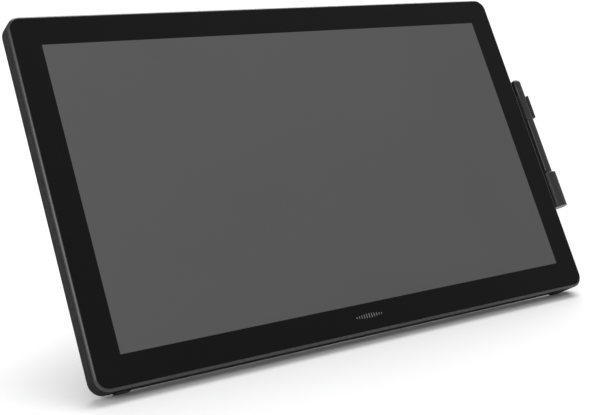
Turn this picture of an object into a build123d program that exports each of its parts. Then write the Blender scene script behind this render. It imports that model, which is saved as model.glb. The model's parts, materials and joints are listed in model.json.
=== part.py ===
from build123d import *
from math import asin, cos, degrees, radians, sin
import os

# Pen display: a drawing tablet with a built-in screen, leaning on its lower edge and a hinged
# stand, with its pen stored in a holder on the right side. Millimetres.
#
# Everything on the display is modelled in the display's own frame: x to the right, y up along
# the screen, z out of the screen, origin at the middle of the active area with z = 0 at the
# front plane. stand_up() then tilts it to its working angle and sets it on the desk, z = 0,
# with the origin at the bottom centre of the whole object's box.

# ---- driving dimensions -------------------------------------------------------------------
TILT = 59.2             # screen to desk, degrees
ACTIVE_W = 527.0        # active area, 23.8 inches across the diagonal at 16:9
ACTIVE_H = 296.5
CASE_W = 585.0
CASE_H = 356.0
CASE_R = 13.5           # corner radius of the outline
RIM_DEPTH = 21.5        # front plane to the flat band round the back
SPLIT = 4.6             # depth of the joint between front frame and rear cover
FRAME_DEPTH = 7.0       # the frame goes on inside the cover's wall to here
BACK = 44.0             # depth of the raised middle of the back
WALL = 2.5
GAP = 0.35              # between pieces that move past each other

GLASS_W = 579.6
GLASS_H = 351.0
GLASS_R = 10.8
GLASS_TOP = -0.25
GLASS_T = 1.8
LEDGE = 0.3             # adhesive between the glass and its ledge

BULGE_FOOT_IN = 16.0    # inset of the raised middle where it leaves the flat band
BULGE_TOP_IN_X = 62.0   # and at its flat back
BULGE_TOP_IN_Y = 50.0

VESA = 100.0            # square hole pattern on the back
VESA_HOLE_R = 2.0
VESA_HOLE_DEPTH = 14.0
POST_R = 5.0

DESK_Z = -164.0         # desk below the active area's middle
FOOT_DROP = 1.3         # how far the lower-edge feet stand out of the case
FOOT_POCKET = 1.6       # and how deep they sit in it
FOOT_X = (257.0, 271.0)
FOOT_Z = (-21.5, -11.5)

HINGE_Y = 88.0          # stand hinge, in the display's frame
HINGE_Z = -63.0
LEG_LENGTH = 253.5      # hinge to the desk
TUBE_R = 12.0
TUBE_HALF = 100.2
PIN_R = 6.0
RUNNING = 0.05          # radial clearance of a shaft in its bush

LEVER_Y = 116.0         # release lever's pivot
LEVER_Z = -54.0

PEN_X = 306.5           # pen axis
PEN_Z = -9.5
PEN_TIP_Y = -82.0
PEN_LENGTH = 157.5
PEN_R = 6.0             # upper end; the barrel and the grip have their own
BARREL_R = 5.9
GRIP_R = 6.1
CUP_Y = (-84.6, -43.0)
CUP_R = 9.2
CLIP_Y = (25.5, 53.0)
CLIP_R = 9.5
HOLDER_BORE_R = 6.7     # inside of the cup and the clip

BUTTON_Z = -11.2
BUTTON_TRAVEL = 0.8
BUTTON_BOARD_Y = (168.2, 169.8)
BUTTONS = {"minus_button": 166.0, "plus_button": 184.0, "menu_button": 202.0, "power_button": 228.0}

BAY_X = 105.0           # connector bay in the back, open to the rear
BAY_Y = (-114.0, -75.0)
BAY_FLOOR = -25.0
BAY_WALL = 4.0
NOTCH_X = 42.0          # half width of the cable notch below the bay
NOTCH_DEPTH = 12.0
LID_RIM = 2.0           # how far the bay's lid rests on the cover all round
LID_T = 1.6
BOARD_TOP = -27.0       # rear face of the main board

X_SHIFT = -11.75        # puts the origin at the bottom centre of the box
Y_SHIFT = -80.5

# ---- worked out from them -----------------------------------------------------------------
COS, SIN = cos(radians(TILT)), sin(radians(TILT))
RIM_IN_W, RIM_IN_H = CASE_W - 2 * WALL, CASE_H - 2 * WALL
CASE_BOTTOM, CASE_TOP = -CASE_H / 2, CASE_H / 2


def to_world(x, y, z):
    """A point of the display's frame, in the object's frame."""
    return (x + X_SHIFT, y * COS - z * SIN + Y_SHIFT, y * SIN + z * COS - DESK_Z)


HINGE = to_world(0, HINGE_Y, HINGE_Z)
LEG_REACH = (LEG_LENGTH**2 - HINGE[2] ** 2) ** 0.5
LEG_FOOT_Y = HINGE[1] + LEG_REACH


# ---- small helpers ------------------------------------------------------------------------
def block(x0, x1, y0, y1, z0, z1):
    return Pos((x0 + x1) / 2, (y0 + y1) / 2, (z0 + z1) / 2) * Box(x1 - x0, y1 - y0, z1 - z0)


def plate(width, height, radius, z0, z1, x=0.0, y=0.0):
    """A plate with rounded corners, parallel to the screen."""
    return Pos(x, y, z0) * extrude(RectangleRounded(width, height, radius), z1 - z0)


def frame(outer, inner, z0, z1):
    """A flat frame: outer and inner are (width, height, radius)."""
    return plate(*outer, z0, z1) - plate(*inner, z0 - 1, z1 + 1)


def post(radius, x, y, z0, z1):
    """A cylinder square to the screen."""
    return Pos(x, y, (z0 + z1) / 2) * Cylinder(radius, z1 - z0)


def rod(radius, x0, x1, y, z):
    """A cylinder along x."""
    return Pos((x0 + x1) / 2, y, z) * Rot(0, 90, 0) * Cylinder(radius, x1 - x0)


def stem(radius, x, y0, y1, z):
    """A cylinder along y."""
    return Pos(x, (y0 + y1) / 2, z) * Rot(90, 0, 0) * Cylinder(radius, y1 - y0)


def tapered(low, high, z0, z1):
    """A loft between two rounded rectangles, each (width, height, radius)."""
    sections = [Pos(0, 0, z) * RectangleRounded(*size) for z, size in ((z0, low), (z1, high))]
    return loft(sections)


def both_sides(shape):
    return [shape, mirror(shape, Plane.YZ)]


def corners(dx, dy, x=0.0, y=0.0):
    """The four corners of a rectangle, half sizes dx and dy."""
    return [(x + sx * dx, y + sy * dy) for sx in (-1, 1) for sy in (-1, 1)]


def screw(x, y, head_z, head_r, head_t, shank_r, end_z):
    """A screw driven from behind; its socket is a hexagon in the head."""
    body = post(head_r, x, y, head_z, head_z + head_t) + post(shank_r, x, y, head_z + head_t, end_z)
    socket = Pos(x, y, head_z - 0.1) * extrude(RegularPolygon(head_r * 0.5, 6), head_t * 0.6 + 0.1)
    return body - socket


# ---- front: glass, frame, panel stack -----------------------------------------------------
GLASS_LOW = GLASS_TOP - GLASS_T
LEDGE_Z = GLASS_LOW - LEDGE
FRAME_IN = (560.0, 331.0, 5.0)


def front_glass():
    glass = plate(GLASS_W, GLASS_H, GLASS_R, GLASS_LOW, GLASS_TOP)
    return chamfer(glass.edges().group_by(Axis.Z)[-1], 0.2)


def front_frame():
    """A chamfered lip round the glass, and a step that fits inside the rear cover's wall."""
    body = plate(CASE_W, CASE_H, CASE_R, -SPLIT, 0)
    body = chamfer(body.edges().group_by(Axis.Z)[-1], 1.8)
    body += plate(RIM_IN_W - 0.3, RIM_IN_H - 0.3, CASE_R - WALL - 0.15, -FRAME_DEPTH, -SPLIT + 1)
    body -= plate(GLASS_W + 0.3, GLASS_H + 0.3, GLASS_R + 0.15, LEDGE_Z, 1)
    body -= plate(*FRAME_IN, -FRAME_DEPTH - 1, 0)
    for x, y in COVER_SCREWS:
        body -= post(1.25, x, y, -FRAME_DEPTH - 1, -3.6)
    return body


def glass_tape():
    return frame((578.6, 350.0, 10.0), (562.0, 333.0, 6.0), LEDGE_Z, GLASS_LOW)


def border_film():
    """The opaque print behind the glass, with the window of the active area."""
    return frame((559.0, 330.0, 5.0), (ACTIVE_W, ACTIVE_H, 0.4), GLASS_LOW - 0.15, GLASS_LOW)


PANEL = (533.0, 303.0, 1.0)
PANEL_FRAME_IN = (538.0, 308.0, 1.5)
TRAY = (537.0, 307.0, 1.5)


def lcd_panel():
    return plate(*PANEL, -3.65, -2.25)


def panel_frame():
    return frame((556.0, 327.0, 4.0), PANEL_FRAME_IN, -9.6, -2.3)


def diffuser_films():
    return plate(531.0, 301.0, 1.0, -4.4, -3.75)


def light_guide():
    return plate(531.0, 298.0, 1.0, -7.0, -4.5, y=1.3)


def reflector_sheet():
    return plate(531.0, 298.0, 1.0, -7.3, -7.1, y=1.3)


def led_strip():
    strip = block(-262, 262, -150.9, -150.1, -7.0, -4.5)
    lamps = [block(x - 1.8, x + 1.8, -150.1, -148.6, -6.6, -4.9) for x in range(-256, 257, 16)]
    return strip + lamps


def backlight_tray():
    floor = plate(*TRAY, -8.2, -7.4)
    return floor + frame(TRAY, (535.0, 305.0, 1.0), -7.4, -3.0)


def sensor_board():
    return plate(532.0, 303.0, 3.0, -9.3, -8.3)


def sensor_shield():
    return plate(532.0, 303.0, 3.0, -9.8, -9.4)


def chassis_plate():
    """Stiffening plate, with the four threaded posts that carry the stand."""
    body = plate(556.0, 327.0, 4.0, -12.0, -10.0)
    ribs = [block(-240, 240, y - 1.5, y + 1.5, -14.5, -12.0) for y in (-140, 140)]
    ribs += both_sides(block(236, 239, -141.5, 141.5, -14.5, -12.0))
    body += ribs
    body -= both_sides(block(CABLE_X[0] - 2, CABLE_X[1] + 2, -145, -135, -16, -12))
    body += [post(POST_R, x, y, -BACK + 0.05, -12.0) for x, y in STAND_POSTS]
    body -= [post(2.55, x, y, -BACK - 1, -BACK + 12) for x, y in STAND_POSTS]
    return body


CABLE_X = (60.0, 84.0)
STAND_POSTS = corners(88.0, 13.0, y=HINGE_Y)
VESA_POSTS = corners(VESA / 2, VESA / 2)


def vesa_posts():
    """Threaded posts from the chassis to the back, for a mounting arm."""
    posts = []
    for x, y in VESA_POSTS:
        bore = post(VESA_HOLE_R, x, y, -BACK - 1, -BACK + VESA_HOLE_DEPTH)
        posts.append(post(POST_R, x, y, -BACK, -12.0) - bore)
    return posts


# ---- electronics --------------------------------------------------------------------------
MAIN_BOARD = (-96.0, 96.0, -71.0, -14.0)
SIDE_BOARD = (122.0, 212.0, -58.0, 58.0)


def board_holes(corners_of_board):
    x0, x1, y0, y1 = corners_of_board
    return corners((x1 - x0) / 2 - 5, (y1 - y0) / 2 - 5, (x0 + x1) / 2, (y0 + y1) / 2)


def main_board():
    x0, x1, y0, y1 = MAIN_BOARD
    board = block(x0, x1, y0, y1, BOARD_TOP, BOARD_TOP + 1.6)
    board += [block(x, x + 14, -42, -30, BOARD_TOP - 1.4, BOARD_TOP) for x in (-88, -66, 56, 76)]
    board -= [post(POST_R + 1, x, y, -40, -20) for x, y in VESA_POSTS]
    board -= [post(1.6, x, y, -40, -20) for x, y in board_holes(MAIN_BOARD)]
    return board


def board_shield():
    can = block(-36, 36, -58, -22, BOARD_TOP - 4.5, BOARD_TOP)
    return can - block(-35.5, 35.5, -57.5, -22.5, BOARD_TOP - 4.0, BOARD_TOP + 1)


def side_board(side, tall):
    """A board beside the main one; tall is the height of its largest parts."""
    x0, x1, y0, y1 = SIDE_BOARD
    board = block(x0, x1, y0, y1, -18.6, -17.0)
    for row in range(4):
        y = y0 + 18 + row * 27
        board += block(x0 + 12, x0 + 30, y - 8, y + 8, -18.6 - tall, -18.6)
        board += Pos(x1 - 24, y, -18.6 - tall / 2) * Cylinder(7.5, tall)
    board -= [post(1.6, x, y, -24, -12) for x, y in board_holes(SIDE_BOARD)]
    return board if side > 0 else mirror(board, Plane.YZ)


def board_screws():
    screws = [screw(x, y, BOARD_TOP - 1.6, 2.6, 1.6, 1.5, -12.0) for x, y in board_holes(MAIN_BOARD)]
    for x, y in board_holes(SIDE_BOARD):
        one = screw(x, y, -20.2, 2.6, 1.6, 1.5, -12.0)
        screws += both_sides(one)
    return screws


def flat_cables():
    """Two flat cables that run over the chassis to the panel's lower edge."""
    run = block(*CABLE_X, -160, -74, -12.4, -12.05)
    return both_sides(run)


def socket_shell(width, height, depth, x, wall=0.5):
    """A connector on the main board, its mouth towards -y in the bay."""
    y1 = BAY_Y[1] + depth
    y0 = BAY_Y[1] - 1.5
    z1 = BOARD_TOP
    z0 = z1 - height
    shell = block(x - width / 2, x + width / 2, y0, y1, z0, z1)
    inside = block(x - width / 2 + wall, x + width / 2 - wall, y0 - 1, y1 - 1, z0 + wall, z1 - wall)
    middle = (z0 + z1) / 2
    tongue = block(x - width / 2 + 2, x + width / 2 - 2, y0 + 1.5, y1, middle - 0.4, middle + 0.4)
    return shell - inside + tongue


def video_socket():
    return socket_shell(15.0, 6.0, 10.0, -20.0)


def usb_socket():
    return socket_shell(13.0, 5.8, 10.0, 12.0)


def power_socket():
    """Barrel inlet with its centre pin."""
    x, z = 70.0, BOARD_TOP - 5.5
    y0, y1 = BAY_Y[1] - 1.5, BAY_Y[1] + 8.5
    body = block(x - 5.5, x + 5.5, y0, y1, z - 5.5, BOARD_TOP)
    return body - stem(3.3, x, y0 - 1, y1 - 1.5, z) + stem(1.0, x, y0 + 1, y1 - 1, z)


SOCKETS = {-20.0: (15.0, 6.0), 12.0: (13.0, 5.8), 70.0: (11.0, 11.0)}


def button_board():
    return block(158, 244, *BUTTON_BOARD_Y, -15.0, -7.6)


# ---- rear cover ---------------------------------------------------------------------------
COVER_SCREWS = [(x, sy * 171.0) for x in (-250.0, -90.0, 90.0, 250.0) for sy in (-1, 1)]
COVER_SCREWS += [(sx * 285.5, y) for sx in (-1, 1) for y in (-96.0, 96.0)]
HOLDER_SCREW_Y = (-24.0, 8.0)


def bulge(shrink, z0, z1):
    low = (CASE_W - 2 * BULGE_FOOT_IN - shrink, CASE_H - 2 * BULGE_FOOT_IN - shrink, 12.0)
    high = (CASE_W - 2 * BULGE_TOP_IN_X - shrink, CASE_H - 2 * BULGE_TOP_IN_Y - shrink, 16.0)
    return tapered(high, low, z0, z1)


def vent_slots():
    """Rows of slots through the sloping sides above and below the raised middle."""
    slots = []
    for i in range(29):
        x = (i - 14) * 9.0
        slots.append(block(x - 1.4, x + 1.4, 133, 155, -60, -12))
    for i in range(10):
        x = 118 + i * 9.0
        slots += both_sides(block(x - 1.4, x + 1.4, -155, -133, -60, -12))
    return slots


def rear_cover():
    rim = plate(CASE_W, CASE_H, CASE_R, -RIM_DEPTH, -SPLIT - 0.15)
    rim = fillet(rim.edges().group_by(Axis.Z)[0], 3.5)
    hump = bulge(0, -BACK, -RIM_DEPTH + 0.5)
    hump = fillet(hump.edges().group_by(Axis.Z)[0], 5.0)
    body = rim + hump
    body -= plate(RIM_IN_W, RIM_IN_H, CASE_R - WALL, -RIM_DEPTH + WALL, 0)
    body -= bulge(7.0, -BACK + WALL, -RIM_DEPTH + WALL)
    x, (y0, y1) = BAY_X, BAY_Y
    bay_x = x + BAY_WALL
    body += block(-bay_x, bay_x, y0 - BAY_WALL, y1 + BAY_WALL, -BACK + 1, BAY_FLOOR + WALL)
    body -= block(-x, x, y0, y1, -BACK - 1, BAY_FLOOR)
    notch_z = -BACK + NOTCH_DEPTH
    body += block(-NOTCH_X - WALL, NOTCH_X + WALL, -160, y0 - 1, -BACK, notch_z + WALL) & hump
    body -= block(-NOTCH_X, NOTCH_X, -170, y0 + 1, -BACK - 1, notch_z)
    recess = LID_RIM + GAP
    body -= block(-x - recess, x + recess, y0 - recess, y1 + recess, -BACK - 1, -BACK + LID_T + 0.2)
    for at, (width, height) in SOCKETS.items():
        body -= block(at - width / 2 - 0.2, at + width / 2 + 0.2, y1 - 1, y1 + BAY_WALL + 1,
                      BOARD_TOP - height - 0.2, BOARD_TOP + 0.2)
    for px, py in COVER_SCREWS:
        body += post(3.2, px, py, -RIM_DEPTH + WALL - 0.5, -FRAME_DEPTH - 0.15)
        body -= post(1.6, px, py, -RIM_DEPTH - 1, 0)
        body -= post(2.9, px, py, -RIM_DEPTH - 1, -RIM_DEPTH + 2.0)
    body -= [post(POST_R + 0.1, px, py, -BACK - 1, -BACK + 5) for px, py in VESA_POSTS + STAND_POSTS]
    body -= vent_slots()
    body -= [button_hole(at) for at in BUTTONS.values()]
    body -= stem(1.1, LIGHT_X, CASE_TOP - 4, CASE_TOP + 1, BUTTON_Z)
    pocket_top = CASE_BOTTOM + FOOT_POCKET
    body -= both_sides(block(*FOOT_X, CASE_BOTTOM - 5, pocket_top, FOOT_Z[0] - 1, FOOT_Z[1]))
    for y in HOLDER_SCREW_Y:
        body -= rod(1.6, CASE_W / 2 - 6, CASE_W / 2 + 1, y, -11.0)
    return body.solids().sort_by(SortBy.VOLUME)[-1]


def cover_screws():
    head = -RIM_DEPTH + 0.3
    return [screw(x, y, head, 2.6, 1.6, 1.2, -3.8) for x, y in COVER_SCREWS]


def port_cover():
    """Lid of the connector bay; it lifts off to the rear."""
    x, (y0, y1) = BAY_X, BAY_Y
    size = (2 * (x + LID_RIM), y1 - y0 + 2 * LID_RIM, 2.0)
    inner_z = -BACK + 0.1 + LID_T
    lid = plate(*size, -BACK + 0.1, inner_z, y=(y0 + y1) / 2)
    lid -= [block(at - 1, at + 1, -104, -86, -BACK - 1, 0) for at in range(-90, 91, 10) if abs(at) > 45]
    lid -= Pos(0, y1 + LID_RIM, -BACK) * Cylinder(8.0, 6.0)
    return lid + both_sides(block(x - 7, x - 5, -100, -90, inner_z, inner_z + 6.0))


def edge_feet():
    """Rubber feet under the lower edge, each with a flat that lies on the desk."""
    x0, x1 = FOOT_X
    y0, y1 = CASE_BOTTOM - FOOT_DROP, CASE_BOTTOM + FOOT_POCKET
    foot = block(x0 + 0.1, x1 - 0.1, y0, y1 - 0.05, FOOT_Z[0], FOOT_Z[1] - 0.1)
    foot = chamfer(foot.edges().group_by(Axis.Y)[0].group_by(Axis.X)[0], 0.6)
    foot = chamfer(foot.edges().group_by(Axis.Y)[0].group_by(Axis.X)[-1], 0.6)
    return both_sides(foot)


# ---- buttons on the top edge --------------------------------------------------------------
LIGHT_X = 240.0
CAP_X, CAP_Z = 5.2, 2.1       # half sizes of a button's cap


def button_hole(x):
    return block(x - CAP_X - GAP, x + CAP_X + GAP, CASE_TOP - WALL - 1, CASE_TOP + 1,
                 BUTTON_Z - CAP_Z - GAP, BUTTON_Z + CAP_Z + GAP)


def button(x):
    """A cap that stands just proud of the top edge, with a flange and a stem inside."""
    cap = block(x - CAP_X, x + CAP_X, CASE_TOP - 3.0, CASE_TOP + 0.7, BUTTON_Z - CAP_Z, BUTTON_Z + CAP_Z)
    cap = fillet(cap.edges().filter_by(Axis.Y), 1.4)
    cap = fillet(cap.edges().group_by(Axis.Y)[-1], 0.4)
    flange = block(x - CAP_X - 1.2, x + CAP_X + 1.2, CASE_TOP - 4.2, CASE_TOP - 3.0,
                   BUTTON_Z - CAP_Z - 0.9, BUTTON_Z + CAP_Z + 0.9)
    stem_end = BUTTON_BOARD_Y[1] + BUTTON_TRAVEL + 0.3
    return cap + flange + stem(1.4, x, stem_end, CASE_TOP - 4.2, BUTTON_Z)


def light_pipe():
    return stem(1.0, LIGHT_X, 171.0, CASE_TOP + 0.05, BUTTON_Z)


# ---- pen holder ---------------------------------------------------------------------------
SIDE = CASE_W / 2
HOLDER_X = SIDE + 4.2


def holder_base():
    base = block(SIDE + 0.05, HOLDER_X, CUP_Y[0] + 1, CLIP_Y[1] + 1, -16.4, -3.4)
    base = fillet(base.edges().filter_by(Axis.X), 3.0)
    for y in HOLDER_SCREW_Y:
        base -= rod(1.6, SIDE - 1, SIDE + 5, y, -11.0)
        base -= rod(3.1, SIDE + 2.2, SIDE + 5, y, -11.0)
    return base


def holder_screws():
    screws = []
    for y in HOLDER_SCREW_Y:
        screws.append(rod(2.9, SIDE + 2.3, SIDE + 4.1, y, -11.0) + rod(1.5, SIDE - 5, SIDE + 2.3, y, -11.0))
    return screws


def pen_cup():
    """The socket that the pen's tip stands in."""
    y0, y1 = CUP_Y
    cup = stem(CUP_R, PEN_X, y0, y1, PEN_Z)
    cup = fillet(cup.edges().group_by(Axis.Y)[0], 1.2)
    cup = chamfer(cup.edges().group_by(Axis.Y)[-1], 0.5)
    cup += block(HOLDER_X, PEN_X - 6, y0 + 1.5, y1 - 1, PEN_Z - 5.5, PEN_Z + 5.5)
    return cup - stem(HOLDER_BORE_R, PEN_X, y0 + 2.0, y1 + 1, PEN_Z)


def pen_clip():
    """A spring clip round the pen, open to the front."""
    y0, y1 = CLIP_Y
    clip = stem(CLIP_R, PEN_X, y0, y1, PEN_Z)
    clip += block(HOLDER_X, PEN_X - 4, y0, y1, PEN_Z - 5.5, PEN_Z + 3.0)
    clip -= stem(HOLDER_BORE_R, PEN_X, y0 - 1, y1 + 1, PEN_Z)
    wedge = Plane.XZ * Polygon((0, 0), (30, 18), (30, 40), (-30, 40), (-30, 18), align=None)
    return clip - Pos(PEN_X, (y0 + y1) / 2, PEN_Z) * extrude(wedge, 30, both=True)


# ---- pen: modelled along +z from its tip, then laid in the holder -------------------------
def in_holder(shape):
    return Pos(PEN_X, PEN_TIP_Y, PEN_Z) * Rot(-90, 0, 0) * shape


def turned(*points):
    """A solid of revolution about z from (radius, height) corners."""
    outline = Plane.XZ * Polygon(*points, align=None)
    return revolve(outline, Axis.Z)


NIB_R = 0.85
SWITCH_S = (45.0, 60.0)


def pen_nib():
    nib = Pos(0, 0, 10.0) * Cylinder(NIB_R, 20.0)
    return in_holder(fillet(nib.edges().group_by(Axis.Z)[0], 0.6))


def pen_nose():
    bore = NIB_R + 0.08
    return in_holder(turned((bore, 1.8), (2.0, 1.8), (5.4, 17.0), (4.0, 17.0), (3.0, 13.0), (bore, 12.0)))


def pen_grip():
    return in_holder(turned((4.0, 17.0), (5.4, 17.0), (GRIP_R, 27.0), (BARREL_R, 42.0), (4.0, 42.0)))


def pen_coil():
    """The antenna coil round the pen's tip rod."""
    return in_holder(Pos(0, 0, 29) * (Cylinder(3.2, 18) - Cylinder(1.3, 18)))


def pen_barrel():
    barrel = turned((4.0, 42.0), (BARREL_R, 42.0), (BARREL_R - 0.15, 105.6), (4.0, 105.6))
    s0, s1 = SWITCH_S
    barrel -= block(2, 8, -2.3, 2.3, s0 - 0.5, s1 + 0.5)
    return in_holder(barrel)


def pen_upper():
    tube = Pos(0, 0, (106.0 + PEN_LENGTH) / 2) * Cylinder(PEN_R, PEN_LENGTH - 106.0)
    tube = fillet(tube.edges().group_by(Axis.Z)[-1], PEN_R - 1.0)
    tube -= Pos(0, 0, 129.0) * Cylinder(4.0, 42.0)
    spigot = Pos(0, 0, 105.0) * Cylinder(3.9, 8.0)
    return in_holder(tube + spigot - Pos(0, 0, 104.5) * Cylinder(2.9, 9.0))


def pen_board():
    return in_holder(block(-0.6, 0.6, -2.6, 2.6, 62, 142))


def pen_switch():
    """Two-way rocker on the barrel's side."""
    s0, s1 = SWITCH_S
    rocker = block(4.1, GRIP_R + 0.2, -1.8, 1.8, s0, s1)
    rocker = fillet(rocker.edges().filter_by(Axis.Y).group_by(Axis.X)[-1], 0.9)
    return in_holder(rocker)


# ---- stand --------------------------------------------------------------------------------
EAR = (101.0, 109.0)
LEVER_EAR = (35.0, 41.0)
PLATE_Z = (-BACK - 3.0, -BACK)


def eared(x0, x1, y, z, radius, base_y):
    """An ear on the stand's plate with a round end about (y, z)."""
    web = block(x0, x1, y - base_y, y + base_y, z, PLATE_Z[0] + 0.5)
    return web + rod(radius, x0, x1, y, z)


def stand_base():
    body = plate(236.0, 44.0, 6.0, *PLATE_Z, y=HINGE_Y)
    body += plate(92.0, 60.0, 6.0, *PLATE_Z, y=HINGE_Y + 8)
    ear = eared(*EAR, HINGE_Y, HINGE_Z, 14.0, 14.0) - rod(PIN_R + 0.03, 99, 111, HINGE_Y, HINGE_Z)
    small = eared(*LEVER_EAR, LEVER_Y, LEVER_Z, 5.5, 5.5) - rod(2.53, 34, 42, LEVER_Y, LEVER_Z)
    body += both_sides(ear) + both_sides(small)
    body -= [post(2.8, x, y, -60, -40) for x, y in STAND_POSTS]
    return body


def stand_screws():
    """Cap screws that hold the stand's plate to the chassis posts."""
    return [screw(x, y, -BACK - 7.0, 4.4, 4.0, 2.5, -BACK + 10) for x, y in STAND_POSTS]


def hinge_pins():
    pin = rod(PIN_R, 72.0, 109.0, HINGE_Y, HINGE_Z) + rod(8.5, 109.0, 112.0, HINGE_Y, HINGE_Z)
    return both_sides(pin)


def hinge_bushes():
    bush = rod(9.0, 74.0, TUBE_HALF, HINGE_Y, HINGE_Z) - rod(PIN_R + RUNNING, 70, 110, HINGE_Y, HINGE_Z)
    return both_sides(bush)


def stand_tube():
    return rod(TUBE_R, -TUBE_HALF, TUBE_HALF, HINGE_Y, HINGE_Z) - rod(9.03, -101, 101, HINGE_Y, HINGE_Z)


def lever_pin():
    return rod(2.5, -41, 41, LEVER_Y, LEVER_Z) + both_sides(rod(4.0, 41, 42.5, LEVER_Y, LEVER_Z))


def lever_spring():
    return rod(4.6, -8, 8, LEVER_Y, LEVER_Z) - rod(3.0, -9, 9, LEVER_Y, LEVER_Z)


def release_lever():
    """Pull handle behind the top of the back, with an arm down to the brake shoe."""
    hub = rod(5.0, -34.5, 34.5, LEVER_Y, LEVER_Z)
    handle = plate(64.0, 40.0, 8.0, LEVER_Z - 4.0, LEVER_Z, y=LEVER_Y + 18)
    grip = plate(64.0, 10.0, 4.0, LEVER_Z - 9.0, LEVER_Z, y=LEVER_Y + 33)
    arm = block(-18, 18, LEVER_Y - 9.0, LEVER_Y, LEVER_Z - 2.0, LEVER_Z + 2.4)
    lever = hub + handle + grip + arm
    lever -= rod(2.5 + RUNNING, -40, 40, LEVER_Y, LEVER_Z)
    lever -= block(-9, 9, LEVER_Y - 6, LEVER_Y + 6, LEVER_Z - 7, LEVER_Z + 7)
    return lever


def brake_shoe():
    """Curved pad that the lever's spring presses on the stand's tube."""
    y1 = LEVER_Y - 9.0
    shoe = block(-18, 18, y1 - 13.0, y1, LEVER_Z - 2.0, LEVER_Z + 2.4)
    return shoe - rod(TUBE_R + GAP, -20, 20, HINGE_Y, HINGE_Z)


# ---- the stand's leg, modelled in the object's frame ---------------------------------------
LEG_LEAN = degrees(asin(LEG_REACH / LEG_LENGTH))
FOOT_BAR_Y = LEG_FOOT_Y - 8.0
FOOT_BAR = (150.0, 14.0)      # half sizes along x and y
PAD_T = 5.0
BAR_TOP = 18.0


def along_leg(shape):
    """From a frame with its origin on the hinge and -z down the leg."""
    return Pos(X_SHIFT, HINGE[1], HINGE[2]) * Rot(LEG_LEAN, 0, 0) * shape


def stand_arm(side):
    """A tapered arm from the tube down to the foot bar."""
    top = Pos(side * 76.0, 0, -4.0) * RectangleRounded(34.0, 17.0, 4.0)
    low = Pos(side * 112.0, 0, -LEG_LENGTH) * RectangleRounded(44.0, 12.0, 4.0)
    arm = along_leg(loft([low, top])) - stand_up(rod(TUBE_R + 0.02, -110, 110, HINGE_Y, HINGE_Z))
    return arm & block(-300, 300, -300, 600, BAR_TOP, 600)


def stand_brace():
    bar = along_leg(rod(6.0, -90, 90, 0, -140.0))
    return (bar - stand_arm(-1) - stand_arm(1)).solids().sort_by(SortBy.VOLUME)[-1]


def foot_bar():
    x, y = FOOT_BAR
    bar = Pos(X_SHIFT, FOOT_BAR_Y, (PAD_T + BAR_TOP) / 2) * Box(2 * x, 2 * y, BAR_TOP - PAD_T)
    bar = fillet(bar.edges().filter_by(Axis.Z), 6.0)
    return fillet(bar.edges().group_by(Axis.Z)[-1], 2.5)


def foot_pads():
    """Rubber pads under the ends of the foot bar."""
    pads = []
    for sx in (-1, 1):
        pad = Pos(X_SHIFT + sx * 122.0, FOOT_BAR_Y, PAD_T / 2) * Box(48.0, 22.0, PAD_T)
        pad = fillet(pad.edges().filter_by(Axis.Z), 5.0)
        pads.append(fillet(pad.edges().group_by(Axis.Z)[0], 1.5))
    return pads


# ---- placing and writing ------------------------------------------------------------------
def stand_up(shape):
    """From the display's frame to the object's frame."""
    return Pos(X_SHIFT, Y_SHIFT, -DESK_Z) * Rot(TILT, 0, 0) * shape


ON_DISPLAY = {
    "front_glass": front_glass,
    "front_frame": front_frame,
    "glass_tape": glass_tape,
    "border_film": border_film,
    "lcd_panel": lcd_panel,
    "panel_frame": panel_frame,
    "diffuser_films": diffuser_films,
    "light_guide": light_guide,
    "reflector_sheet": reflector_sheet,
    "led_strip": led_strip,
    "backlight_tray": backlight_tray,
    "sensor_board": sensor_board,
    "sensor_shield": sensor_shield,
    "chassis_plate": chassis_plate,
    "vesa_posts": vesa_posts,
    "main_board": main_board,
    "board_shield": board_shield,
    "power_board": lambda: side_board(1, 14.0),
    "control_board": lambda: side_board(-1, 4.0),
    "board_screws": board_screws,
    "flat_cables": flat_cables,
    "video_socket": video_socket,
    "usb_socket": usb_socket,
    "power_socket": power_socket,
    "button_board": button_board,
    "light_pipe": light_pipe,
    "rear_cover": rear_cover,
    "cover_screws": cover_screws,
    "port_cover": port_cover,
    "holder_base": holder_base,
    "holder_screws": holder_screws,
    "pen_cup": pen_cup,
    "pen_clip": pen_clip,
    "pen_nib": pen_nib,
    "pen_nose": pen_nose,
    "pen_grip": pen_grip,
    "pen_coil": pen_coil,
    "pen_barrel": pen_barrel,
    "pen_upper": pen_upper,
    "pen_board": pen_board,
    "pen_switch": pen_switch,
    "stand_base": stand_base,
    "stand_screws": stand_screws,
    "hinge_pins": hinge_pins,
    "hinge_bushes": hinge_bushes,
    "stand_tube": stand_tube,
    "lever_pin": lever_pin,
    "lever_spring": lever_spring,
    "release_lever": release_lever,
    "brake_shoe": brake_shoe,
}
ON_DESK = {
    "stand_arm_left": lambda: stand_arm(-1),
    "stand_arm_right": lambda: stand_arm(1),
    "stand_brace": stand_brace,
    "foot_bar": foot_bar,
    "foot_pads": foot_pads,
}


def write(name, shape):
    pieces = shape if isinstance(shape, list) else [shape]
    solids = [solid for piece in pieces for solid in piece.solids()]
    export_step(Compound(children=solids) if len(solids) > 1 else solids[0], f"parts/{name}.step")


def main():
    os.makedirs("parts", exist_ok=True)
    for name, make in ON_DISPLAY.items():
        made = make()
        pieces = made if isinstance(made, list) else [made]
        write(name, [stand_up(piece) for piece in pieces])
    for name, x in BUTTONS.items():
        write(name, stand_up(button(x)))
    for name, make in ON_DESK.items():
        write(name, make())
    below_desk = block(-400, 400, -400, 400, -20, 0)
    write("edge_feet", [stand_up(foot) - below_desk for foot in edge_feet()])


main()
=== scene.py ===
import json
from math import cos, pi, radians, sin

import bmesh
import bpy
from mathutils import Matrix, Vector


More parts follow.
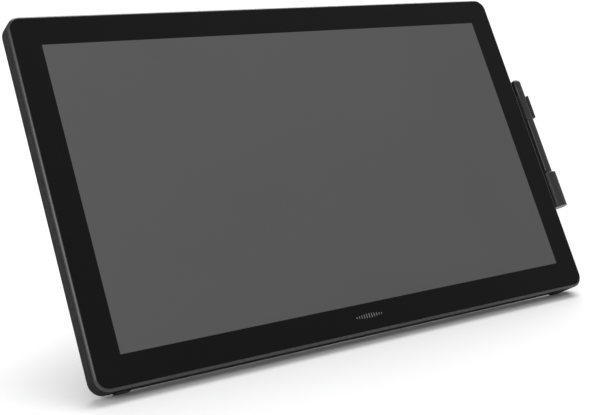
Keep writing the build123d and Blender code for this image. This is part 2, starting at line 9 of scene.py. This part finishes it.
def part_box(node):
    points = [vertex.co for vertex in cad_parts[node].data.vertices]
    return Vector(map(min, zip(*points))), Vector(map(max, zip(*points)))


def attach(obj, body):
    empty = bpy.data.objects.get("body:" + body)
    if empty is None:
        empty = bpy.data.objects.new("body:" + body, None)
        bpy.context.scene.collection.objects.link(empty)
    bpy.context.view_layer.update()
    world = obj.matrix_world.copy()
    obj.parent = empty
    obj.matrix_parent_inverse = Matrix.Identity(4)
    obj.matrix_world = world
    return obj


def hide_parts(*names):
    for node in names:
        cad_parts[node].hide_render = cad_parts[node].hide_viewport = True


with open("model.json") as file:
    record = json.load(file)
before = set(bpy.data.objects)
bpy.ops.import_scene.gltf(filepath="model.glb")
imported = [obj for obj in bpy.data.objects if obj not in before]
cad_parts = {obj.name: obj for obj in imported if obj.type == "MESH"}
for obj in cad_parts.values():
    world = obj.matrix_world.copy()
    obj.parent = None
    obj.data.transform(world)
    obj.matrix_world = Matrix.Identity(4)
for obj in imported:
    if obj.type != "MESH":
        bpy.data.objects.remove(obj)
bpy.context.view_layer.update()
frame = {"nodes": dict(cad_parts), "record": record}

# ---- the display's own frame --------------------------------------------------------------
# Millimetres, x to the right, y up along the screen, z out of it, origin in the middle of the
# active area at the case's front plane.
MM = 0.001
TILT = radians(59.2)
GLASS_MIDDLE = -1.15                      # depth of the middle of the cover glass

GLASS_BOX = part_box("front_glass")
SCREEN_OUT = Vector((0, -sin(TILT), cos(TILT)))
MIDDLE = (GLASS_BOX[0] + GLASS_BOX[1]) / 2 - SCREEN_OUT * GLASS_MIDDLE * MM
DISPLAY = Matrix.Translation(MIDDLE) @ Matrix.Rotation(TILT, 4, "X") @ Matrix.Scale(MM, 4)

ACTIVE = (527.0, 296.5)                   # width, height
CASE = (585.0, 356.0, 13.5)               # width, height, corner radius
GLASS = (579.6, 351.0, 10.8)
GLASS_TOP, GLASS_LOW = -0.25, -2.05       # depths of the cover glass's two faces

# The pen stands in its holder: z of its own frame runs from the tip up along the screen.
PEN_X, PEN_Z, PEN_TIP_Y = 306.5, -9.5, -82.0
PEN = DISPLAY @ Matrix.Translation((PEN_X, PEN_TIP_Y, PEN_Z)) @ Matrix.Rotation(-pi / 2, 4, "X")

ROUND = 64                                # segments of a full turn


# ---- material building --------------------------------------------------------------------
class Surface:
    """A Principled material with shortcuts for the nodes that give it its detail."""

    def __init__(self, name, colour, roughness, metallic=0.0, specular=0.5):
        self.material = bpy.data.materials.new(name)
        self.material.use_nodes = True
        self.tree = self.material.node_tree
        self.shader = self.tree.nodes["Principled BSDF"]
        self.shader.inputs["Metallic"].default_value = metallic
        self.shader.inputs["Specular IOR Level"].default_value = specular
        self.colour, self.roughness = colour, roughness
        self.shader.inputs["Base Color"].default_value = (*colour, 1)
        self.shader.inputs["Roughness"].default_value = roughness
        self.where = self.tree.nodes.new("ShaderNodeTexCoord").outputs["Object"]
        self.height = None

    def link(self, a, b):
        self.tree.links.new(a, b)

    def along_display(self):
        """Turns the pattern's axes to lie along the screen."""
        turn = self.tree.nodes.new("ShaderNodeMapping")
        turn.vector_type = "TEXTURE"
        turn.inputs["Rotation"].default_value = (TILT, 0, 0)
        self.link(self.where, turn.inputs["Vector"])
        self.where = turn.outputs["Vector"]
        return self

    def stretched(self, x, y, z):
        """The pattern's coordinates with each axis scaled by its own factor."""
        scale = self.tree.nodes.new("ShaderNodeMapping")
        scale.inputs["Scale"].default_value = (x, y, z)
        self.link(self.where, scale.inputs["Vector"])
        return scale.outputs["Vector"]

    def noise(self, size_mm, detail=3.0, where=None):
        node = self.tree.nodes.new("ShaderNodeTexNoise")
        node.inputs["Scale"].default_value = 1.0 / (size_mm * MM)
        node.inputs["Detail"].default_value = detail
        self.link(where or self.where, node.inputs["Vector"])
        return node.outputs["Fac"]

    def cells(self, size_mm):
        node = self.tree.nodes.new("ShaderNodeTexVoronoi")
        node.inputs["Scale"].default_value = 1.0 / (size_mm * MM)
        self.link(self.where, node.inputs["Vector"])
        return node.outputs["Distance"]

    def spread(self, value, low, high, start=0.3, end=0.7):
        """Maps a pattern's middle part, start to end, onto low to high."""
        node = self.tree.nodes.new("ShaderNodeMapRange")
        node.inputs["From Min"].default_value = start
        node.inputs["From Max"].default_value = end
        node.inputs["To Min"].default_value = low
        node.inputs["To Max"].default_value = high
        self.link(value, node.inputs["Value"])
        return node.outputs["Result"]

    def vary_colour(self, value, other, start=0.35, end=0.65):
        mix = self.tree.nodes.new("ShaderNodeMix")
        mix.data_type = "RGBA"
        factor, colour_a, colour_b, result = mix.inputs[0], mix.inputs[6], mix.inputs[7], mix.outputs[2]
        colour_a.default_value = (*self.colour, 1)
        colour_b.default_value = (*other, 1)
        self.link(self.spread(value, 0, 1, start, end), factor)
        self.link(result, self.shader.inputs["Base Color"])
        return self

    def vary_roughness(self, value, by):
        low, high = self.roughness - by, self.roughness + by
        self.link(self.spread(value, low, high), self.shader.inputs["Roughness"])
        return self

    def bump(self, value, depth_mm):
        """Adds relief; each call lays its pattern over the ones before it."""
        node = self.tree.nodes.new("ShaderNodeBump")
        node.inputs["Strength"].default_value = 1.0
        node.inputs["Distance"].default_value = depth_mm * MM
        self.link(value, node.inputs["Height"])
        if self.height is not None:
            self.link(self.height, node.inputs["Normal"])
        self.height = node.outputs["Normal"]
        self.link(self.height, self.shader.inputs["Normal"])
        return self


def scaled(colour, factor):
    return tuple(min(1.0, c * factor) for c in colour)


def moulded(name, colour, roughness, specular=0.5, grain=0.45, depth=0.02):
    """Injection-moulded plastic: fine spark texture, faint handling marks."""
    s = Surface(name, colour, roughness, specular=specular)
    s.vary_colour(s.noise(60.0, 4), scaled(colour, 1.12))
    s.vary_roughness(s.noise(9.0, 5), 0.05)
    s.bump(s.cells(grain), depth).bump(s.noise(grain * 0.5, 2), depth * 0.5)
    return s.material


def rubber(name, colour, roughness=0.75):
    """Soft, matt rubber with a fine uneven skin."""
    s = Surface(name, colour, roughness, specular=0.35)
    s.vary_colour(s.noise(5.0, 5), scaled(colour, 1.4))
    s.vary_roughness(s.noise(2.0), 0.08)
    s.bump(s.noise(0.3, 4), 0.05)
    return s.material


def powder_coat(name, colour):
    """Fine textured powder coat over steel."""
    s = Surface(name, colour, 0.5, specular=0.45)
    s.vary_colour(s.noise(45.0, 4), scaled(colour, 1.15))
    s.vary_roughness(s.noise(4.0, 3), 0.07)
    s.bump(s.noise(0.55, 2), 0.05).bump(s.cells(0.9), 0.03)
    return s.material


def machined(name, colour, roughness=0.32, metallic=1.0):
    """Turned or drawn metal with fine tool lines across x."""
    s = Surface(name, colour, roughness, metallic=metallic)
    lines = s.noise(1.0, 3, where=s.stretched(14.0, 1.0, 1.0))
    s.vary_colour(s.noise(12.0, 4), scaled(colour, 0.8))
    s.vary_roughness(lines, 0.08)
    s.bump(lines, 0.01)
    return s.material


def sheet_metal(name, colour):
    """Rolled sheet with its grain along the screen's width."""
    s = Surface(name, colour, 0.42, metallic=1.0).along_display()
    rolled = s.noise(2.5, 3, where=s.stretched(0.06, 1.0, 1.0))
    s.vary_colour(s.noise(30.0, 4), scaled(colour, 0.85))
    s.vary_roughness(rolled, 0.1)
    s.bump(rolled, 0.01)
    return s.material


def solder_mask(name):
    """Green lacquer over copper tracks."""
    base = (0.012, 0.085, 0.035)
    s = Surface(name, base, 0.35, specular=0.5).along_display()
    tracks = s.tree.nodes.new("ShaderNodeTexBrick")
    tracks.inputs["Scale"].default_value = 160.0
    tracks.inputs["Mortar Size"].default_value = 0.03
    s.link(s.where, tracks.inputs["Vector"])
    s.vary_colour(tracks.outputs["Fac"], (0.03, 0.16, 0.07), 0.0, 1.0)
    s.bump(tracks.outputs["Fac"], 0.03)
    return s.material


def clear_film(name, colour):
    """Smooth, pale plastic film."""
    s = Surface(name, colour, 0.25, specular=0.5)
    s.vary_colour(s.noise(80.0, 2), scaled(colour, 0.93))
    s.vary_roughness(s.noise(12.0), 0.06)
    s.bump(s.noise(0.2, 2), 0.005)
    return s.material


def etched_border():
    """Black print seen through etched, anti-glare glass."""
    s = Surface("etched_border", (0.0038, 0.0038, 0.0040), 0.38, specular=0.12)
    s.vary_colour(s.noise(140.0, 3), (0.0044, 0.0044, 0.0046))
    s.vary_roughness(s.noise(30.0, 4), 0.025)
    s.bump(s.noise(0.12, 2), 0.002)
    return s.material


def etched_screen():
    """The unlit panel seen through the same glass: an even dark grey."""
    s = Surface("etched_screen", (0.098, 0.098, 0.0985), 0.40, specular=0.12).along_display()
    s.vary_colour(s.noise(260.0, 2), (0.102, 0.102, 0.1025))
    s.vary_roughness(s.noise(30.0, 4), 0.025)
    s.bump(s.noise(0.12, 2), 0.002)
    return s.material


def bevel_painted_highlight():
    """The rim's bevel: smoother than the case, and given a lighter base colour than the case as a
    painted highlight along the edge.
    """
    # Base colour about three times the case's: painted highlight; the lower roughness is the bevel's
    # own.
    s = Surface("bevel_painted_highlight", (0.030, 0.030, 0.0312), 0.28, specular=0.45)
    s.vary_colour(s.noise(50.0, 3), (0.035, 0.035, 0.0364))
    s.vary_roughness(s.noise(8.0, 4), 0.04)
    s.bump(s.noise(0.3, 2), 0.004)
    return s.material


def printed(name, colour):
    """A thin print: slightly uneven ink."""
    s = Surface(name, colour, 0.55, specular=0.3)
    s.vary_colour(s.noise(1.5, 3), scaled(colour, 0.85))
    s.vary_roughness(s.noise(0.8), 0.06)
    s.bump(s.noise(0.15, 2), 0.004)
    return s.material


CASE_COLOUR = (0.0085, 0.0085, 0.0090)
MATERIALS = {
    "case_black": moulded("case_black", CASE_COLOUR, 0.58, specular=0.07, grain=0.6, depth=0.03),
    # The rim's bevel: the case's plastic painted lighter as a highlight.
    "bevel_painted_highlight": bevel_painted_highlight(),
    "mark_grey": printed("mark_grey", (0.30, 0.30, 0.31)),
    "label_grey": printed("label_grey", (0.22, 0.22, 0.225)),
    "frame_black": moulded("frame_black", (0.024, 0.024, 0.025), 0.36, specular=0.4, grain=0.35,
                           depth=0.01),
    "button_black": moulded("button_black", (0.02, 0.02, 0.021), 0.42, grain=0.3, depth=0.01),
    "pen_black": moulded("pen_black", (0.022, 0.022, 0.0235), 0.3, grain=0.25, depth=0.004),
    "nib_plastic": moulded("nib_plastic", (0.03, 0.03, 0.03), 0.4, grain=0.2, depth=0.005),
    "tape": moulded("tape", (0.015, 0.015, 0.015), 0.8, grain=0.8, depth=0.06),
    "pen_grip_rubber": rubber("pen_grip_rubber", (0.022, 0.022, 0.023), 0.62),
    "foot_rubber": rubber("foot_rubber", (0.024, 0.024, 0.025)),
    "stand_metal": powder_coat("stand_metal", (0.022, 0.022, 0.024)),
    "black_screw": machined("black_screw", (0.05, 0.05, 0.052), 0.4),
    "steel": machined("steel", (0.56, 0.56, 0.57)),
    "bronze": machined("bronze", (0.45, 0.3, 0.16), 0.45),
    "copper": machined("copper", (0.6, 0.3, 0.18)),
    "socket_metal": machined("socket_metal", (0.6, 0.6, 0.58), 0.28),
    "chassis_metal": sheet_metal("chassis_metal", (0.62, 0.63, 0.64)),
    "circuit_board": solder_mask("circuit_board"),
    "film": clear_film("film", (0.8, 0.8, 0.8)),
    "light_pipe": clear_film("light_pipe", (0.7, 0.75, 0.8)),
    "lcd": etched_screen(),
    "etched_glass": etched_border(),
}


# ---- mesh building ------------------------------------------------------------------------
def make(name, verts, faces, place, body, material, slot=None, sharp=35.0):
    """A mesh piece from points in a local frame, in millimetres, that rides on a body."""
    mesh = bpy.data.meshes.new(name)
    mesh.from_pydata([place @ Vector(v) for v in verts], [], faces)
    tidy = bmesh.new()
    tidy.from_mesh(mesh)
    bmesh.ops.remove_doubles(tidy, verts=tidy.verts, dist=1e-7)
    bmesh.ops.recalc_face_normals(tidy, faces=tidy.faces)
    tidy.to_mesh(mesh)
    tidy.free()
    for face in mesh.polygons:
        face.use_smooth = True
    mesh.set_sharp_from_angle(angle=radians(sharp))
    piece = bpy.data.objects.new(name, mesh)
    bpy.context.scene.collection.objects.link(piece)
    mesh.materials.append(MATERIALS[material])
    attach(piece, body)
    return piece


def rounded_rectangle(width, height, radius, per_corner=14):
    """Points round a rounded rectangle, anticlockwise from the lower right corner's start."""
    points = []
    centres = [(1, -1, -90), (1, 1, 0), (-1, 1, 90), (-1, -1, 180)]
    for sx, sy, start in centres:
        cx, cy = sx * (width / 2 - radius), sy * (height / 2 - radius)
        for i in range(per_corner + 1):
            a = radians(start + 90 * i / per_corner)
            points.append((cx + radius * cos(a), cy + radius * sin(a)))
    return points


def loops_to_faces(count, loops, closed):
    """Quads between successive loops of count points; closed joins the last to the first."""
    faces = []
    for k in range(loops if closed else loops - 1):
        a, b = k * count, ((k + 1) % loops) * count
        faces += [(a + i, a + (i + 1) % count, b + (i + 1) % count, b + i) for i in range(count)]
    return faces


def ring(name, size, profile, body, material, **more):
    """A frame whose section, a list of (inset, z), runs round a rounded rectangle."""
    width, height, radius = size
    verts, count = [], 0
    for inset, z in profile:
        loop = rounded_rectangle(width - 2 * inset, height - 2 * inset, max(radius - inset, 0.05))
        count = len(loop)
        verts += [(x, y, z) for x, y in loop]
    faces = loops_to_faces(count, len(profile), closed=True)
    return make(name, verts, faces, DISPLAY, body, material, **more)


def turned(name, profile, body, material, sharp):
    """A solid of revolution about the pen's axis from (radius, height) points, with flat ends."""
    turn = [2 * pi * i / ROUND for i in range(ROUND)]
    verts = []
    for r, z in profile:
        verts += [(r * cos(a), r * sin(a), z) for a in turn]
    faces = loops_to_faces(ROUND, len(profile), closed=False)
    faces.append(tuple(reversed(range(ROUND))))
    faces.append(tuple(range((len(profile) - 1) * ROUND, len(profile) * ROUND)))
    return make(name, verts, faces, PEN, body, material, sharp=sharp)


def arc(cx, cy, radius, start, end, steps=8):
    """Points of an arc in a section, degrees."""
    angles = [radians(start + (end - start) * i / steps) for i in range(steps + 1)]
    return [(cx + radius * cos(a), cy + radius * sin(a)) for a in angles]


# ---- front --------------------------------------------------------------------------------
def cover_glass():
    """One plate with a softened edge: its top face is cut along the edge of the active area."""
    width, height, radius = GLASS
    edge, corner, flat = 0.25, 0.075, 0.55    # size of the softened edge, its middle, the flat's start
    levels = [(0, GLASS_LOW), (0, GLASS_TOP - edge), (corner, GLASS_TOP - corner), (edge, GLASS_TOP),
              (flat, GLASS_TOP)]
    verts, count = [], 0
    for inset, z in levels:
        loop = rounded_rectangle(width - 2 * inset, height - 2 * inset, radius - inset)
        count = len(loop)
        verts += [(x, y, z) for x, y in loop]
    faces = loops_to_faces(count, len(levels), closed=False)
    faces.append(tuple(reversed(range(count))))

    # The border, between the plate's outline and the four corners of the active area.
    window = len(verts)
    x, y = ACTIVE[0] / 2, ACTIVE[1] / 2
    verts += [(x, -y, GLASS_TOP), (x, y, GLASS_TOP), (-x, y, GLASS_TOP), (-x, -y, GLASS_TOP)]
    top, quarter = (len(levels) - 1) * count, count // 4
    for k in range(4):
        for i in range(quarter - 1):
            a = top + k * quarter + i
            faces.append((a, a + 1, window + k))
        last = top + k * quarter + quarter - 1
        following = top + ((k + 1) * quarter) % count
        faces.append((last, following, window + (k + 1) % 4, window + k))
    faces.append((window, window + 1, window + 2, window + 3))
    glass = make("cover_glass", verts, faces, DISPLAY, "display", "etched_glass")
    glass.data.materials.append(MATERIALS["lcd"])
    front_faces = [f for f in glass.data.polygons if f.normal.dot(SCREEN_OUT) > 0.9]
    screen = max(front_faces, key=lambda f: f.area)
    screen.material_index = 1
    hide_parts("front_glass")


def front_rim():
    """The frame round the glass: a smoother bevel, coloured lighter as a painted highlight, over a
    plain side, and a step inside the cover.
    """
    split, low = -4.6, -7.0                   # where the cover begins; the end of the step
    ledge, inner, step = -2.35, 12.5, 2.65    # the glass's seat; insets of the opening and the step
    bevel_start, lip, edge = -2.0, 2.55, 0.35    # depth of the bevel; inset of the lip; edge radius
    profile = [(0.2, split), (0.0, split + 0.2), (0.0, bevel_start)]
    profile += arc(edge, -1.85, edge, 180, 145, 2)
    profile += arc(1.85, -edge, edge, 125, 92, 2)
    profile += [(lip - 0.2, -0.03), (lip - 0.05, -0.12), (lip, -0.3), (lip, ledge)]
    profile += [(inner, ledge), (inner, low), (step, low), (step, split)]
    rim = ring("front_rim", CASE, profile, "display", "case_black", slot="frame_black", sharp=40)
    # The bevel's faces take the lighter material, a painted highlight along the rim.
    rim.data.materials.append(MATERIALS["bevel_painted_highlight"])
    to_local = DISPLAY.inverted()
    for face in rim.data.polygons:
        if (to_local @ face.center).z > bevel_start and face.normal.dot(SCREEN_OUT) > 0.1:
            face.material_index = 1
    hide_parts("front_frame")


def slabs(name, shapes, low, top, body, material, slot=None):
    """Thin plates parallel to the screen: each shape is (x, y, width, height, corner radius)."""
    verts, faces = [], []
    for x, y, width, height, radius in shapes:
        outline = [(x + px, y + py) for px, py in rounded_rectangle(width, height, radius, 6)]
        start, count = len(verts), len(outline)
        for z in (low, top):
            verts += [(px, py, z) for px, py in outline]
        faces += [tuple(start + i for i in face) for face in loops_to_faces(count, 2, closed=False)]
        faces.append(tuple(start + i for i in reversed(range(count))))
        faces.append(tuple(start + count + i for i in range(count)))
    return make(name, verts, faces, DISPLAY, body, material, slot=slot)


def lower_border_mark():
    """A plain row of strokes, printed in the middle of the lower border."""
    y, pitch, width, corner = -161.0, 3.0, 0.64, 0.31
    shortest, swell, half = 1.8, 3.0, 5       # lengths, and the strokes on either side of the middle
    strokes = []
    for i in range(-half, half + 1):
        length = shortest + swell * cos(i * pi / (2 * half + 1)) ** 2
        strokes.append((i * pitch, y, width, length, corner))
    slabs("border_mark", strokes, GLASS_TOP - 0.03, GLASS_TOP + 0.02, "display", "mark_grey",
          "frame_black")


def rating_label():
    """A blank label with a raised border, on the flat of the back."""
    x, y, width, height, corner = 168.0, -8.0, 72.0, 36.0, 2.0
    back = -44.0                              # depth of the back's flat
    slabs("rating_label", [(x, y, width, height, corner)], back - 0.12, back + 0.1, "display",
          "label_grey", "frame_black")
    inset, line, gap, end = 1.6, 0.5, 4.0, 0.2
    edge = [(x + side * (width / 2 - inset), y, line, height - gap, end) for side in (-1, 1)]
    edge += [(x, y + side * (height / 2 - inset), width - gap, line, end) for side in (-1, 1)]
    slabs("label_border", edge, back - 0.16, back - 0.1, "display", "mark_grey", "frame_black")


cover_glass()
front_rim()
lower_border_mark()
rating_label()


# ---- pen ----------------------------------------------------------------------------------
# Heights are from the tip along the pen's axis.
PEN_R, BARREL_R, GRIP_R = 6.0, 5.9, 6.1
PEN_LENGTH = 157.5
NOSE_TOP, GRIP_TOP, TAIL_LOW = 17.0, 42.0, 106.0
SPIGOT_R, SPIGOT_LOW = 3.9, 100.5         # the upper barrel's spigot, inside the barrel
CORE_R = 4.05                             # bore of the grip, over the pen's core


def seam(height, radius, depth=0.3, half=0.35):
    """A groove round a turned piece, from below to above."""
    floor_r = radius - depth
    return [(radius, height - half), (floor_r, height - half * 0.5), (floor_r, height + half * 0.5),
            (radius, height + half)]


def pen_tail():
    """The upper barrel: a spigot below, a domed end above and a seam under the dome."""
    dome, flat, chamfer, seam_height = 5.6, 0.4, 0.25, 150.0
    profile = [(SPIGOT_R - 1, SPIGOT_LOW), (SPIGOT_R, SPIGOT_LOW), (SPIGOT_R, TAIL_LOW)]
    profile += [(PEN_R - chamfer, TAIL_LOW), (PEN_R, TAIL_LOW + chamfer)]
    profile += seam(seam_height, PEN_R)
    profile += arc(flat, PEN_LENGTH - dome, dome, 0, 90, 15)
    piece = turned("pen_tail", profile, "pen", "pen_black", sharp=45)
    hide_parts("pen_upper")


def pen_rubber():
    """The flared grip with fine rings moulded into its lower half."""
    low_r, flare = 5.4, 10.0                  # radius at the nose, length of the flare
    rings, first_ring, pitch = 9, 19.0, 1.5
    profile = [(CORE_R, NOSE_TOP), (low_r - 0.1, NOSE_TOP), (low_r, NOSE_TOP + 0.15)]
    for i in range(rings):
        height = first_ring + i * pitch
        radius = low_r + (GRIP_R - low_r) * min(1.0, (height - NOSE_TOP) / flare)
        profile += [(radius, height - 0.4), (radius - 0.16, height - 0.15)]
        profile += [(radius - 0.16, height + 0.15), (radius, height + 0.4)]
    profile += [(GRIP_R, 33.0), (GRIP_R - 0.04, 36.0), (GRIP_R - 0.12, 39.0)]
    profile += [(BARREL_R, GRIP_TOP - 0.2), (BARREL_R - 0.1, GRIP_TOP), (CORE_R, GRIP_TOP)]
    piece = turned("pen_rubber", profile, "pen", "pen_grip_rubber", sharp=60)
    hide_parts("pen_grip")


def pen_cone():
    """The tapering nose with a rounded mouth for the nib."""
    profile = [(0.95, 1.9), (1.7, 1.8), (2.0, 2.1)]
    profile += [(3.4, 8.0), (4.6, 13.5), (5.2, 16.4), (5.35, NOSE_TOP - 0.05), (CORE_R, NOSE_TOP)]
    piece = turned("pen_cone", profile, "pen", "pen_black", sharp=45)
    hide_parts("pen_nose")


def pen_point():
    """The nib, with its worn round tip."""
    profile = [(0.25, 0.0), (0.55, 0.12), (0.78, 0.4), (0.85, 0.75), (0.85, 20.0)]
    piece = turned("pen_point", profile, "nib", "nib_plastic", sharp=50)
    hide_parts("pen_nib")


def coil_of_wire(name, start, end, radius, wire, turns, place, body, material, replaced):
    """A helix of round wire along z, with closed ends."""
    per_turn, around = 24, 8
    steps = turns * per_turn
    pitch = (end - start) / turns
    verts = []
    for k in range(steps + 1):
        a = 2 * pi * k / per_turn
        centre = Vector((radius * cos(a), radius * sin(a), start + (end - start) * k / steps))
        ahead = Vector((-radius * sin(a), radius * cos(a), pitch / (2 * pi))).normalized()
        out = Vector((cos(a), sin(a), 0))
        up = ahead.cross(out)
        verts += [tuple(centre + wire * (out * cos(b) + up * sin(b)))
                  for b in (2 * pi * j / around for j in range(around))]
    faces = loops_to_faces(around, steps + 1, closed=False)
    faces.append(tuple(reversed(range(around))))
    faces.append(tuple(range(steps * around, (steps + 1) * around)))
    piece = make(name, verts, faces, place, body, material, sharp=60)
    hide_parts(replaced)


pen_tail()
pen_rubber()
pen_cone()
pen_point()
coil_of_wire("antenna_winding", start=20.4, end=37.6, radius=2.6, wire=0.45, turns=18, place=PEN,
             body="pen", material="copper", replaced="pen_coil")


# ---- stand --------------------------------------------------------------------------------
LEVER_Y, LEVER_Z = 116.0, -54.0           # the release lever's pin
ALONG_PIN = DISPLAY @ Matrix.Translation((0, LEVER_Y, LEVER_Z)) @ Matrix.Rotation(pi / 2, 4, "Y")


def lever_ribs():
    """Ribs across the back of the lever's grip, the middle one longest."""
    back = LEVER_Z - 9.0                      # depth of the grip's back face
    first, pitch, width, corner = LEVER_Y + 29.6, 1.7, 0.8, 0.35
    ribs = [(0, first + i * pitch, 52.0 - abs(i - 2) * 3.0, width, corner) for i in range(5)]
    slabs("lever_ribs", ribs, back - 0.5, back + 0.1, "lever", "stand_metal")


lever_ribs()
coil_of_wire("return_spring", start=-7.4, end=7.4, radius=3.9, wire=0.6, turns=11, place=ALONG_PIN,
             body="display", material="steel", replaced="lever_spring")


# ---- materials of the CAD nodes -----------------------------------------------------------
def finish_cad():
    """Gives every CAD node the material of its slot."""
    slot_of = {part["node"]: part["material_slot"] for part in frame["record"]["subparts"]}
    for name, node in frame["nodes"].items():
        node.data.materials.clear()
        node.data.materials.append(MATERIALS[slot_of[name]])


finish_cad()


# ---- floor, light and camera --------------------------------------------------------------
def floor():
    """A wide white floor at the desk's height, which isn't part of the object."""
    mesh = bpy.data.meshes.new("floor")
    half = 30.0                               # metres
    corners = [(-half, -half, 0), (half, -half, 0), (half, half, 0), (-half, half, 0)]
    mesh.from_pydata(corners, [], [(0, 1, 2, 3)])
    ground = bpy.data.objects.new("floor", mesh)
    bpy.context.scene.collection.objects.link(ground)
    s = Surface("floor_white", (0.88, 0.88, 0.88), 0.7, specular=0.1)
    s.vary_colour(s.noise(400.0, 2), (0.89, 0.89, 0.89))
    mesh.materials.append(s.material)


def softbox(name, at, towards, size, power):
    """A rectangular light at one point that faces another."""
    lamp = bpy.data.lights.new(name, "AREA")
    lamp.shape = "RECTANGLE"
    lamp.size, lamp.size_y = size
    lamp.energy = power
    holder = bpy.data.objects.new(name, lamp)
    holder.location = at
    direction = Vector(towards) - Vector(at)
    holder.rotation_euler = direction.to_track_quat("-Z", "Y").to_euler()
    bpy.context.scene.collection.objects.link(holder)


def wide_sun(name, towards_it, width, strength):
    """A very soft light from far away, width degrees across, which takes the whole floor to white."""
    lamp = bpy.data.lights.new(name, "SUN")
    lamp.energy = strength
    lamp.angle = radians(width)
    holder = bpy.data.objects.new(name, lamp)
    holder.rotation_euler = Vector(towards_it).to_track_quat("Z", "Y").to_euler()
    bpy.context.scene.collection.objects.link(holder)


def backdrop():
    """White behind the object, a softer grey for the light and the reflections."""
    world = bpy.data.worlds.new("studio")
    bpy.context.scene.world = world
    world.use_nodes = True
    nodes, links = world.node_tree.nodes, world.node_tree.links
    seen = nodes["Background"]
    seen.inputs["Color"].default_value = (1, 1, 1, 1)
    seen.inputs["Strength"].default_value = 1.0
    felt = nodes.new("ShaderNodeBackground")
    felt.inputs["Color"].default_value = (1, 1, 1, 1)
    felt.inputs["Strength"].default_value = 0.52
    path = nodes.new("ShaderNodeLightPath")
    mix = nodes.new("ShaderNodeMixShader")
    links.new(path.outputs["Is Camera Ray"], mix.inputs["Fac"])
    links.new(felt.outputs["Background"], mix.inputs[1])
    links.new(seen.outputs["Background"], mix.inputs[2])
    links.new(mix.outputs["Shader"], nodes["World Output"].inputs["Surface"])


def camera():
    """In front of the display, at the viewer's left and a little above its middle."""
    from_middle = Vector((-0.6527, -0.9388, 0.2210))
    tilt, pan = 77.48, -33.0                  # degrees from straight down, and about the vertical
    lens = bpy.data.cameras.new("camera")
    lens.lens = 69.71
    lens.shift_x, lens.shift_y = 0.0151, -0.0206
    holder = bpy.data.objects.new("camera", lens)
    holder.location = MIDDLE + from_middle
    holder.rotation_euler = (radians(tilt), 0, radians(pan))
    bpy.context.scene.collection.objects.link(holder)
    bpy.context.scene.camera = holder


floor()
backdrop()
wide_sun("sky_light", towards_it=(0.47, 0.50, 0.80), width=60, strength=2.9)
softbox("left_light", at=(-1.9, -0.8, 1.1), towards=(0, 0, 0.15), size=(1.0, 1.0), power=15)
camera()
bpy.context.scene.view_settings.view_transform = "Standard"
